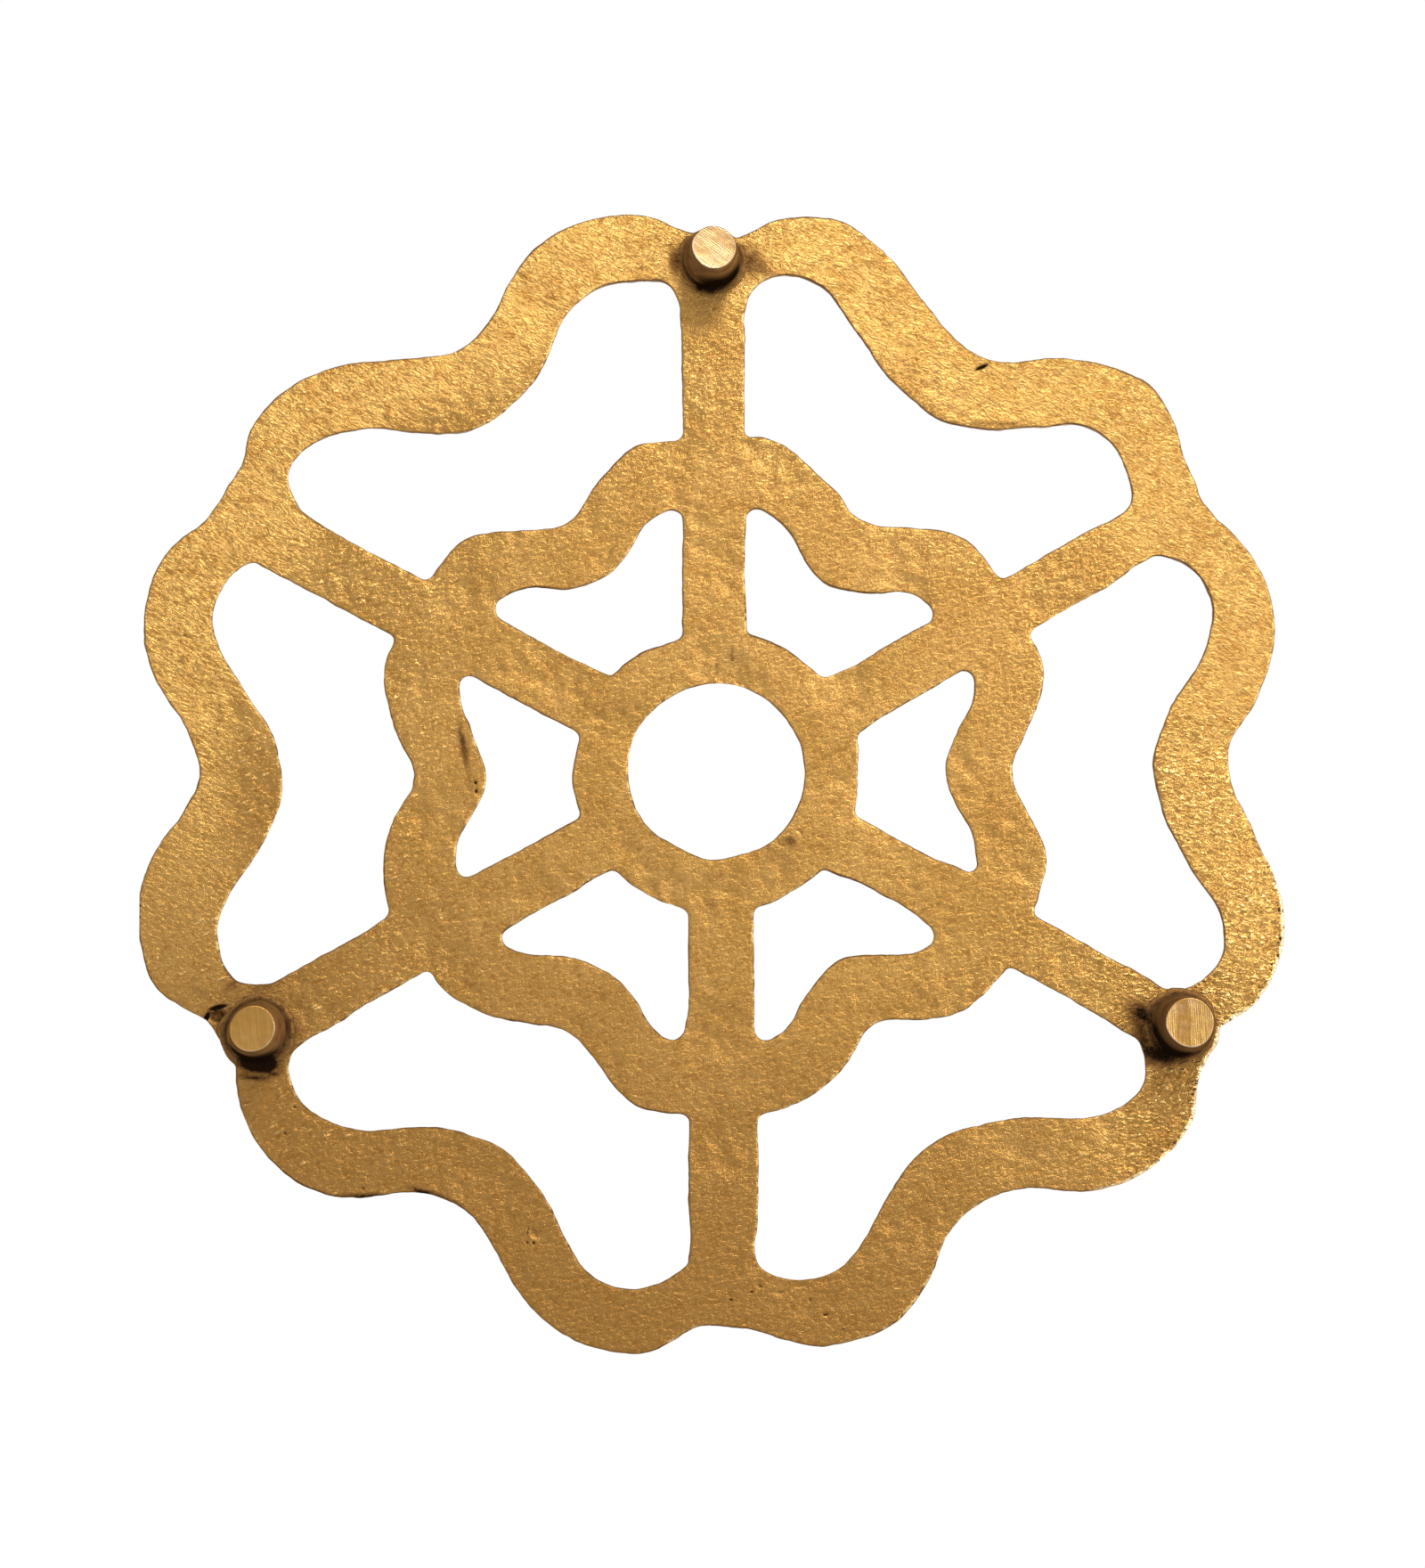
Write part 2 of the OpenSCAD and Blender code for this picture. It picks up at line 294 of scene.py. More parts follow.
def uneven(points, layers, own=0):
    # such fields on top of each other, from the size, height and seed of each
    return sum(height * waves(points, size, seed + own) for size, height, seed in layers)


def read(mesh):
    flat = np.empty(len(mesh.vertices) * 3)
    mesh.vertices.foreach_get("co", flat)
    return flat.reshape(-1, 3) / mm


def write(mesh, points):
    mesh.vertices.foreach_set("co", (points * mm).ravel())
    mesh.update()


def normals(mesh):
    flat = np.empty(len(mesh.vertices) * 3, np.float32)
    mesh.vertex_normals.foreach_get("vector", flat)
    return flat.reshape(-1, 3).astype(float)


def keep(mesh, name, numbers):
    # stored on the mesh, one number for each point
    made = mesh.attributes.new(name, "FLOAT", "POINT")
    made.data.foreach_set("value", numbers.astype(np.float32))


def boxOf(node):
    # two corners of a solid's box, millimetres
    return [np.array(corner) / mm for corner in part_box(node)]


def smoothFall(share):
    # 1 in the middle, 0 from share 1 on
    return np.clip(1 - share, 0, None) ** 2


def ellipseShare(points, x, y, long, wide, turn):
    # 0 in the middle of an ellipse, 1 on its rim, squared distance
    c, s = math.cos(math.radians(turn)), math.sin(math.radians(turn))
    dx, dy = points[:, 0] - x, points[:, 1] - y
    return ((c * dx + s * dy) / long) ** 2 + ((c * dy - s * dx) / wide) ** 2


def show(name, mesh, material, node):
    piece = bpy.data.objects.new(name, mesh)
    bpy.context.scene.collection.objects.link(piece)
    mesh.materials.append(material)
    mesh.polygons.foreach_set("use_smooth", [True] * len(mesh.polygons))
    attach(piece, "root")
    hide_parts(node)


# cast plate

plateSetup = {
    # millimetres
    "widest": 0.4,  # height above the underside where the outline is widest
    "trace": 0.3,  # between points while the outline is worked out
    "soften": 2,  # rounds that take the corners off the solid's facets
    "ease": 50,  # rounds that spread the strays along the edges
    "step": 0.45,  # between points along the finished edges
    "rings": (0.07, 0.2, 0.45, 0.85),  # rows of points inside each edge
    "grid": 0.62,  # between points on the faces
    "gridClear": 0.6,  # share of that, kept free along the last ring
    "fineGrid": 0.2,  # between points round the flaws
    "fineReach": 0.6,  # how far those go past a flaw
    "fineClear": 0.8,  # where the wide grid starts again
    "fineEdge": 0.3,  # how near they come to an edge
    "edge": 0.2,  # rounding of the underside edges
    "crown": 1.2,  # rounding of the top edges
    "draft": 0.3,  # lean of the walls
    "draftReach": 2.5,  # where the top stops leaning along
    "wallRows": (0.25, 0.5, 0.75),  # rows of points on the walls, as shares of their height
    "gap": 0.01,  # kept inside the solid's box
    # size, height and seed of the unevenness
    "faceLayers": ((16.0, 0.07, 11), (3.2, 0.03, 12), (1.7, 0.02, 13)),
    "edgeLayers": ((7.0, 0.02, 31), (1.6, 0.006, 32)),
    # flaws: how far they spread past their size, how dark and how soon they reach that
    "flawSpread": 1.3,
    "flawDark": 1.1,
    "flawFill": 1.8,
    # edges that shine: the way inwards there, and how sharply that ends
    "glint": (0.94, 0.34),
    "glintGain": (1.5, 0.6),
}

# where the pattern strays from the rule: place, reach, and sideways move, millimetres
strays = [
    (79.3, -39.6, 5.5, -1.5, 2.2), (73.2, -29.6, 6, 1, -1.4), (63.6, -43.6, 6, 2.2, 0.6),
    (-8.4, -73.5, 5.5, 1.7, -1.7), (2.4, -86.1, 5.5, 0.7, 2.2), (64.1, 47.7, 6, 1.8, 0.7),
    (-74.1, 43.8, 5, -1.8, 0.7), (7.5, 75.9, 5.5, -1.1, 1.6), (-63.5, 44.1, 5.5, -1.7, -0.6),
    (-7.2, 75.7, 6, 1.2, 1.3), (-77.2, -15.3, 6, 1.2, -0.9), (75.4, 43.2, 4, 1.4, 0.7),
    (-81.6, -6.1, 6.5, -1.3, 0.7), (-76.6, -44.9, 5, 1.4, 0.3), (-21.2, 73.9, 6, 1.1, -0.8),
    (-74.1, 32, 6, -0.9, 0.9), (-65.3, -46.5, 6, -1.2, -0.5), (-35.2, -23.1, 5.5, 1.2, -0.3),
    (81.3, -6.2, 9, 1, 0.6), (-77.4, -27.8, 6, -0.9, -0.6), (45.6, 64.7, 7, 0.2, 1.1),
    (4, -39.8, 5, 0.9, 0.6), (11.5, 51.2, 5.5, 0.4, 1), (74.1, 50, 5, -1.1, -0.3),
    (76, -18, 6, -0.9, -0.5), (-32.8, 73.1, 6, -0.8, 0.6), (-17.9, -12.9, 5, 0.3, -0.9),
    (-38.8, -14.8, 5, -0.2, 0.9), (79.1, 41, 4.5, -0.4, -0.9), (-37.1, 37.6, 5.5, -0.4, 0.8),
    (-23.3, -72, 6, 0.8, -0.5), (18.7, -43.8, 5, -0.7, 0.5), (49.8, -21.4, 5, 0.7, 0.5),
    (3.6, -75.3, 4.5, 0.7, 0.5), (50.2, 17.1, 6, 0.8, 0.2), (-21.5, 7.1, 5, -0.7, -0.2),
    (-6.6, -85.3, 5, -0.3, 0.7), (35.3, 56.6, 6.5, -0.3, -0.7), (-80, -37.8, 4, 0.4, 0.6),
    (82.8, -36.3, 5, -0.7, 1.4), (-11.7, 78.1, 5, 0, 1.2), (-72.7, -31.2, 4.5, -0.4, -1),
    (63.3, -48.5, 5, 0.8, -0.6), (-75.6, -49, 4.5, 0.9, 0.1), (-12.9, -76, 4.5, 0.1, -0.9),
    (4.6, 74.2, 4, 0.9, -0.2), (6.9, -87.6, 4, 0.5, 0.6), (-34.5, 27.4, 4.5, 0.7, -0.4),
    (-23.7, 39.6, 5, -0.2, 0.7), (-19.6, -28.6, 5, 0.4, 0.7), (-17.7, 31.5, 4, 0.4, -0.7),
    (-8.7, 52.5, 5, -0.2, 0.8), (3.4, -59.5, 13, 0.4, 0), (30, 39.5, 6, 0, -0.7),
    (58.5, -37, 5, -0.4, -0.7), (67.5, -2.3, 6, -0.7, -0.1), (86.2, -12.7, 7, 0.6, 0.2),
    (-57.1, -52.8, 6, 0.1, 0.7), (-17.8, 15.6, 4, 0.2, 0.7), (-82.4, 10.6, 5.5, -0.5, -0.4),
    (-76.6, 19, 5, 0.6, 0.3), (-66.2, 33.2, 5, 0.4, 0.6), (-50.8, -11.8, 5.5, -0.7, 0),
    (-50.7, 65.2, 6, 0.1, 0.7), (-49.4, 8.4, 5, 0.6, 0.3), (-41.1, 16, 4, 0.6, -0.2),
    (-36.6, 2.3, 5.5, 0.7, 0), (-27.7, -83, 6, -0.4, -0.5), (-16.8, 48, 5, 0.5, -0.5),
    (7.3, 21.8, 4, -0.2, -0.6), (17.9, -15.3, 4, 0.3, 0.6), (24.4, 68, 7, 0.6, 0.3),
    (26.4, 29.6, 4, -0.1, 0.7), (32.7, -57.5, 6, -0.4, 0.6), (34.5, 26.8, 4, -0.7, -0.1),
    (35.8, 0.5, 5, -0.7, 0), (38.4, 36.7, 5, 0.4, 0.6), (57.6, -54, 6, -0.2, 0.7),
    (70.7, 12.2, 5.5, 0.6, -0.4), (-5.9, -71.2, 4, -0.6, -0.1), (5.8, 87, 5, 0.2, -0.6),
    (22.6, -72.3, 5, -0.5, 0.3), (38, -7.3, 4.5, 0.5, 0.3), (-76, -42, 4, -0.9, -0.7),
    (-35.5, 57.1, 5, 0.3, -0.7), (-77.2, 27.2, 5, -0.7, 0.2), (-70.4, 34.5, 4, -0.1, 0.7),
    (-6.8, -57.5, 13, -0.4, 0), (-5.4, 86.3, 4.5, -0.3, -0.7), (-3, -83.8, 5, -0.1, -0.7),
    (41.3, -32, 5, 0.5, -0.5), (61.4, 52, 4.5, 0.3, 0.6), (64.7, 41.6, 4.5, -0.6, 0.4),
    (80.3, -35.5, 4.5, 0.3, -0.7), (-79.7, 0, 5, -0.6, 0.1), (-73.4, 52.2, 5, 0.6, -0.2),
    (-38.4, -35, 4.5, -0.3, -0.6), (-36.5, 69.2, 4.5, -0.4, 0.5), (-11.9, 37.6, 4.5, -0.6, 0.3),
    (5.8, -11, 5, -0.3, 0.6), (11.3, -49.7, 5, 0.3, -0.6), (75.8, -40, 4, 0.6, -0.2),
    (77.2, 20.2, 6, -0.6, 0.2), (80, 6.2, 6, 0.6, -0.3), (-67.8, 61.1, 5, -0.4, 0.5),
    (-48.6, -3.8, 5, 0.5, -0.3), (-40.6, 35.6, 4, -0.4, 0.4), (-38.8, -6.5, 4.5, -0.5, 0.3),
    (-35.8, -55.7, 7, 0.3, 0.5), (16.6, 32.6, 5, -0.3, -0.5), (33.9, -70.9, 5, 0.5, -0.3),
    (82.3, 38.3, 4, -0.3, -0.5), (-66, -41.1, 4, -0.6, 0.2), (-19.7, 86.8, 6, -0.2, 0.6),
    (-11.7, -86.9, 5, -0.1, 0.6), (23.1, -38, 4.5, 0.3, -0.5), (40, 13.6, 5, -0.6, 0.1),
    (40.3, -14, 4.5, -0.5, 0.2), (72.3, 33, 6, 0.3, 0.5), (-79.4, -20.4, 5, 0.5, -0.1),
    (-68.9, 2.6, 5, 0.6, 0), (-50.5, 18.6, 5, -0.6, 0.1), (-48.1, 54.7, 5, 0, 0.6),
    (-41.3, -11.8, 4.5, 0.5, -0.1), (-28.8, -37.3, 4.5, -0.1, 0.5), (-26.7, -26.7, 5, 0, -0.5),
    (-21.5, -3.8, 5, -0.5, -0.1), (-65.6, -39.2, 4, 0.3, -0.6), (-31.1, -59.2, 5, 0.4, 0.4),
    (-22.1, -73.1, 5, 0.4, 0.3), (-78, 23.9, 4, 0.5, 0.1), (-49.8, 22.2, 4, 0.5, -0.3),
    (-4.7, 75, 4, -0.5, -0.1), (-4.4, -12, 5, 0.2, 0.5), (7.2, 42.6, 4, -0.1, -0.5),
    (21.2, 0, 5, 0.5, -0.1), (30.8, -37.5, 5, -0.1, 0.5), (36.4, 5.5, 5, 0.5, -0.2),
    (40.1, 54.7, 5, -0.1, -0.5), (47.4, -53.3, 6, -0.1, -0.5), (54.6, 55.1, 5, -0.1, -0.5),
    (88.2, -18.9, 6, 0.5, 0.1), (7.7, -77.9, 5, 0.2, 0.5),
]

# flaws of the casting: place, long and short half width, turn, depth and darkness
flaws = [
    (27.6, -69.8, 0.95, 0.65, 80, 0.22, 0.35),  # teardrop dimple
    (27.7, -71.4, 0.35, 0.22, 90, 0.25, 0.9),
    (28.7, -71.3, 0.30, 0.22, 0, 0.2, 0.8),
    (28.6, -69.6, 0.9, 0.14, 100, 0.10, 0.7),
    (36.8, -0.4, 0.36, 0.24, 70, 0.25, 0.75),
    (36.7, -1.7, 0.40, 0.24, 100, 0.25, 0.8),
    (-12.0, -9.1, 0.8, 0.45, 30, 0.2, 0.22),  # spot where a spoke meets the hub ring
    (-13.4, -8.0, 0.7, 0.25, 40, 0.12, 0.2),
    (-10.4, -10.0, 0.9, 0.25, 20, 0.12, 0.2),
    (-41.8, 64.6, 1.2, 0.25, 155, 0.3, 0.9),  # cut in the notch
    (-2.7, -80.1, 0.36, 0.24, 20, 0.3, 0.9),
    (-5.9, -78.9, 0.36, 0.24, 150, 0.3, 0.8),
    (-7.2, -78.0, 0.34, 0.26, 0, 0.25, 0.7),
    (-10.4, -79.0, 0.6, 0.2, 170, 0.15, 0.5),
    (-14.9, -80.1, 0.4, 0.22, 120, 0.2, 0.6),
    (-17.3, -82.4, 0.55, 0.22, 160, 0.3, 0.9),
    (-20.0, -84.6, 0.4, 0.22, 40, 0.2, 0.7),
    (-87.7, -19.9, 0.4, 0.2, 100, 0.25, 1.0),
    (-87.9, -24.4, 0.4, 0.2, 80, 0.25, 1.0),
    (-87.5, -27.0, 0.3, 0.3, 0, 0.25, 0.9),
    (81.9, 22.4, 0.5, 0.3, 0, 0.12, 0.5),
    (82.5, 18.3, 0.6, 0.4, 0, 0.12, 0.5),
    (54.0, -63.0, 0.4, 0.24, 30, 0.2, 0.8),
    (66.0, -54.5, 0.35, 0.24, 60, 0.2, 0.8),
    (64.5, -50.5, 0.35, 0.24, 30, 0.2, 0.8),
    (76.5, -36.4, 1.5, 1.1, 0, 0.6, 0.5),  # pit beside the front right leg
    (76.5, -35.2, 1.5, 0.36, 165, 0.35, 1.1),
    (78.2, -36.8, 1.1, 0.36, 120, 0.35, 1.1),
    (75.9, -37.4, 0.7, 0.30, 80, 0.3, 1.0),
]

# burnt and worn patches, and painted shade beside the legs: place, long and short half width, turn and
# darkness
stainsAndShade = [
    (70.2, -43.7, 3.4, 1.6, 6, 1.9),  # soot and painted shade beside the front right leg
    (70.9, -46.0, 2.6, 0.45, 10, 0.9),
    (67.8, -45.6, 1.8, 0.4, 165, 0.9),
    (70.4, -38.8, 8.6, 7.6, 0, 0.85),
    (65.8, -40.2, 2.2, 4.0, 20, 0.25),
    (74.2, -31.6, 2.4, 1.0, 145, 0.5),
    (68.4, -31.4, 3.6, 1.1, 165, 0.45),
    (80.0, -32.6, 3.6, 1.4, 20, 0.35),
    (0.6, 77.6, 3.0, 1.9, 0, 1.3),  # soot and painted shade beside the back leg
    (0.2, 81.0, 7.6, 6.4, 0, 0.66),
    (5.7, 81.2, 1.6, 3.2, 0, 0.55),
    (-6.2, 81.0, 2.4, 2.8, 0, 0.55),
    (-8.8, 79.4, 1.8, 1.5, 20, 0.45),
    (0.2, 72.6, 4.2, 2.6, 0, 0.24),
    (-70.6, -42.0, 5.4, 2.2, 172, 0.95),  # soot and painted shade beside the front left leg
    (-71.6, -38.2, 8.4, 7.2, 0, 0.78),
    (-66.0, -39.8, 2.0, 4.6, 10, 0.5),
    (-65.2, -35.2, 3.2, 2.2, 20, 0.62),
    (-69.0, -46.6, 3.4, 2.2, 150, 0.34),
    (38.7, 5.4, 5.4, 0.8, 80, 0.95),  # smear on the inner ring
    (38.6, -7.4, 2.2, 0.6, 80, 0.55),
    (37.2, -1.0, 2.2, 1.3, 95, 0.34),
    (-0.6, 17.8, 1.7, 0.45, 92, 0.75),
    (-2.9, 19.3, 2.3, 0.45, 88, 0.75),
    (-11.8, -9.6, 2.2, 1.1, 40, 0.62),
    (-10.2, -12.0, 4.4, 1.6, 38, 0.42),
    (-41.8, 64.6, 1.8, 0.9, 155, 0.4),
    (44.8, -63.5, 3.0, 0.55, 17, 1.3),  # torn edge of the front right petal
    (53.5, -64.2, 6.5, 0.60, 0, 1.1),
    (40.4, -64.8, 3.5, 0.5, 25, 0.7),
    (-43.5, 55.8, 8.0, 0.4, 0, 0.7),  # ragged edge of the back left petal
]


def stainedAndShaded(points, low, spread=1.35, fade=2.0):
    # how dark the patches are at each point, fading up the walls
    total = np.zeros(len(points))
    for x, y, long, wide, turn, dark in stainsAndShade:
        total += dark * smoothFall(ellipseShare(points, x, y, long * spread, wide * spread, turn))
    return total * np.clip((low + fade - points[:, 2]) / fade, 0, 1)


def edgeLoops(mesh, level, join=0.001, slack=0.01):
    # closed loops of the solid's edges that lie at one height
    builder = bmesh.new()
    builder.from_mesh(mesh)
    bmesh.ops.remove_doubles(builder, verts=builder.verts, dist=join * mm)
    spots = np.array([v.co for v in builder.verts]) / mm
    flat = np.abs(spots[:, 2] - level) < slack
    links = {}
    for edge in builder.edges:
        a, b = (v.index for v in edge.verts)
        if flat[a] and flat[b]:
            links.setdefault(a, []).append(b)
            links.setdefault(b, []).append(a)
    builder.free()
    left, loops = set(links), []
    while left:
        loop = [min(left)]
        left.discard(loop[0])
        onward = loop
        while onward:
            onward = [n for n in links[loop[-1]] if n in left][:1]
            loop += onward
            left.difference_update(onward)
        loops.append(spots[loop, :2])
    return loops


def evenly(loop, step, fewest=12):
    # the same closed loop with its points a step apart
    closed = np.vstack([loop, loop[:1]])
    far = np.concatenate([[0], np.cumsum(np.linalg.norm(np.diff(closed, axis=0), axis=1))])
    count = max(fewest, round(far[-1] / step))
    at = np.arange(count) * far[-1] / count
    return np.stack([np.interp(at, far, closed[:, axis]) for axis in range(2)], axis=1)


def soften(loop, rounds):
    for _ in range(rounds):
        loop = loop / 2 + (np.roll(loop, 1, 0) + np.roll(loop, -1, 0)) / 4
    return loop


def area(loop):
    x, y = loop.T
    return np.sum(x * np.roll(y, -1) - np.roll(x, -1) * y) / 2


def inward(loop):
    # unit normals to the left of the loop, where the metal is
    along = np.roll(loop, -1, 0) - np.roll(loop, 1, 0)
    along /= np.linalg.norm(along, axis=1)[:, None]
    return np.stack([-along[:, 1], along[:, 0]], axis=1)


def stray(points):
    # how far the table moves each point
    moved = np.zeros(points.shape)
    for x, y, reach, dx, dy in strays:
        share = ((points[:, 0] - x) ** 2 + (points[:, 1] - y) ** 2) / reach ** 2
        moved += smoothFall(share)[:, None] * (dx, dy)
    return moved


def inside(points, loops):
    # whether each point is inside an odd number of the loops
    odd = np.zeros(len(points), bool)
    for loop in loops:
        for (ax, ay), (bx, by) in zip(loop, np.roll(loop, -1, 0)):
            between = (ay > points[:, 1]) != (by > points[:, 1])
            if between.any():
                cross = ax + (points[:, 1] - ay) * (bx - ax) / (by - ay)
                odd ^= between & (points[:, 0] < cross)
    return odd


def grid(low, high, step):
    # points of a triangular pattern that fills a box
    rows = np.arange(low[1], high[1], step * math.sqrt(0.75))
    across = np.arange(low[0], high[0], step)
    return np.array([(x + step / 2 * (n % 2), y) for n, y in enumerate(rows) for x in across])


def castEdges(setup, mesh, level):
    # the solid's edge loops, the outline first, with the unevenness of this casting
    loops = sorted(edgeLoops(mesh, level), key=lambda loop: -abs(area(loop)))
    for n, loop in enumerate(loops):
        loop = soften(evenly(loop, setup["trace"]), setup["soften"])
        loop = evenly(loop + soften(stray(loop), setup["ease"]), setup["step"])
        if (area(loop) > 0) == (n > 0):
            loop = loop[::-1]
        loops[n] = loop + inward(loop) * uneven(loop, setup["edgeLayers"])[:, None]
    return loops


class Rim:
    # the points of all loops one after the other, and the way inwards at each
    def __init__(self, loops):
        self.points = np.vstack(loops)
        self.ways = np.vstack([inward(loop) for loop in loops])
        self.edges = []
        for loop in loops:
            first, count = len(self.edges), len(loop)
            self.edges += [(first + n, first + (n + 1) % count) for n in range(count)]
        self.tree = KDTree(len(self.points))
        for n, spot in enumerate(self.points):
            self.tree.insert((*spot, 0), n)
        self.tree.balance()

    def depths(self, points):
        # distance from the nearest edge, -1 outside the metal, and the way inwards there
        near = np.array([self.tree.find((*p, 0))[1] for p in points])
        off = points - self.points[near]
        deep = np.einsum("ij,ij->i", off, self.ways[near])
        return np.where(deep > 0, np.linalg.norm(off, axis=1), -1), self.ways[near]


def facePoints(setup, rim, low, high):
    # rows along the edges, a wide grid on the face and a fine one round each flaw
    rows = [rim.points]
    for n, far in enumerate(setup["rings"]):
        skip = 1 if far < setup["step"] else 2
        rows.append((rim.points + rim.ways * far)[n % 2::skip])
    field = grid(low[:2], high[:2], setup["grid"])
    far = rim.depths(field)[0]
    field = field[far > setup["rings"][-1] + setup["grid"] * setup["gridClear"]]
    clear, reach = setup["fineClear"], setup["fineReach"]
    share = np.min([ellipseShare(field, x, y, long + clear, wide + clear, turn)
                    for x, y, long, wide, turn, *_ in flaws], axis=0)
    rows.append(field[share > 1])
    for x, y, long, wide, turn, *_ in flaws:
        half = max(long, wide) + reach
        patch = grid((x - half, y - half), (x + half, y + half), setup["fineGrid"])
        patch = patch[ellipseShare(patch, x, y, long + reach, wide + reach, turn) < 1]
        rows.append(patch[rim.depths(patch)[0] > setup["fineEdge"]])
    return np.vstack(rows)


def triangulate(points, rim, loops, near=1e-5):
    # flat points, the triangles of metal between them, and where each rim point went
    made = delaunay_2d_cdt([Vector(p) for p in points], rim.edges, [], 0, near)
    flat = np.array([tuple(p) for p in made[0]])
    faces = np.array(made[2])
    place = {ids[0]: n for n, ids in enumerate(made[3]) if ids}
    order = np.array([place[n] for n in range(len(rim.points))])
    onRim = np.zeros(len(flat), bool)
    onRim[order] = True
    good = ~onRim[faces].all(axis=1)
    good[~good] = inside(flat[faces[~good]].mean(axis=1), loops)
    return flat, faces[good], order


def plateBody(setup, rim, flat, faces, order, low, high):
    # underside, top and walls, with the distance from the edge and the way inwards on a face
    far, ways = rim.depths(flat)
    far = np.clip(far, 0, None)
    far[order], ways[order] = 0, rim.ways
    edge, crown, draft = setup["edge"], setup["crown"], setup["draft"]
    lower = low[2] + edge - np.sqrt(edge ** 2 - np.clip(edge - far, 0, None) ** 2)
    upper = high[2] - crown + np.sqrt(crown ** 2 - np.clip(crown - far, 0, None) ** 2)
    shift = draft * np.clip(1 - far / setup["draftReach"], 0, 1)
    points = [np.column_stack([flat, lower]), np.column_stack([flat + ways * shift[:, None], upper])]
    count, around = len(flat), len(rim.points)
    foot, head = low[2] + edge, high[2] - crown
    levels = [order]
    for n, share in enumerate(setup["wallRows"]):
        z = np.full(around, foot + (head - foot) * share)
        points.append(np.column_stack([rim.points + rim.ways * draft * share, z]))
        levels.append(2 * count + n * around + np.arange(around))
    levels.append(count + order)
    a, b = np.array(rim.edges).T
    walls = np.vstack([np.column_stack([here[a], here[b], over[b], over[a]])
                       for here, over in zip(levels, levels[1:])])
    points = np.vstack(points)
    mesh = bpy.data.meshes.new("castPlate")
    mesh.from_pydata((points * mm).tolist(), [],
                     faces[:, ::-1].tolist() + (faces + count).tolist() + walls.tolist())
    return mesh, points, far, ways


def castSurface(setup, mesh, points, far, ways, low, high):
    # swells and flaws of the surface, and the numbers that the finish reads at each point
    lift = uneven(points, setup["faceLayers"])
    underside = np.arange(len(points)) < len(far)
    stainShade = np.zeros(len(points))
    spread = setup["flawSpread"]
    for x, y, long, wide, turn, deep, dark in flaws:
        share = smoothFall(ellipseShare(points, x, y, long * spread, wide * spread, turn)) * underside
        lift -= deep * share
        stainShade = np.maximum(stainShade, setup["flawDark"] * dark * np.minimum(1, setup["flawFill"] * share))
    keep(mesh, "stainShade", stainShade + stainedAndShaded(points, low[2]))
    rimFar, rimLight = np.zeros(len(points)), np.zeros(len(points))
    rimFar[:len(far)] = rimFar[len(far):2 * len(far)] = far
    keep(mesh, "rimFar", rimFar)
    gain, less = setup["glintGain"]
    rimLight[:len(far)] = np.clip(gain * ways @ setup["glint"] - less, 0, 1)
    keep(mesh, "rimLight", rimLight)
    points = points + normals(mesh) * lift[:, None]
    write(mesh, np.clip(points, low + setup["gap"], high - setup["gap"]))


def castPlate(setup, material):
    low, high = boxOf("rose_grille")
    loops = castEdges(setup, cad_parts["rose_grille"].data, low[2] + setup["widest"])
    print("plate edges:", len(loops), "loops")
    rim = Rim(loops)
    flat, faces, order = triangulate(facePoints(setup, rim, low, high), rim, loops)
    print("plate triangles:", len(faces), "points:", len(flat))
    mesh, points, far, ways = plateBody(setup, rim, flat, faces, order, low, high)
    castSurface(setup, mesh, points, far, ways, low, high)
    show("castPlate", mesh, material, "rose_grille")


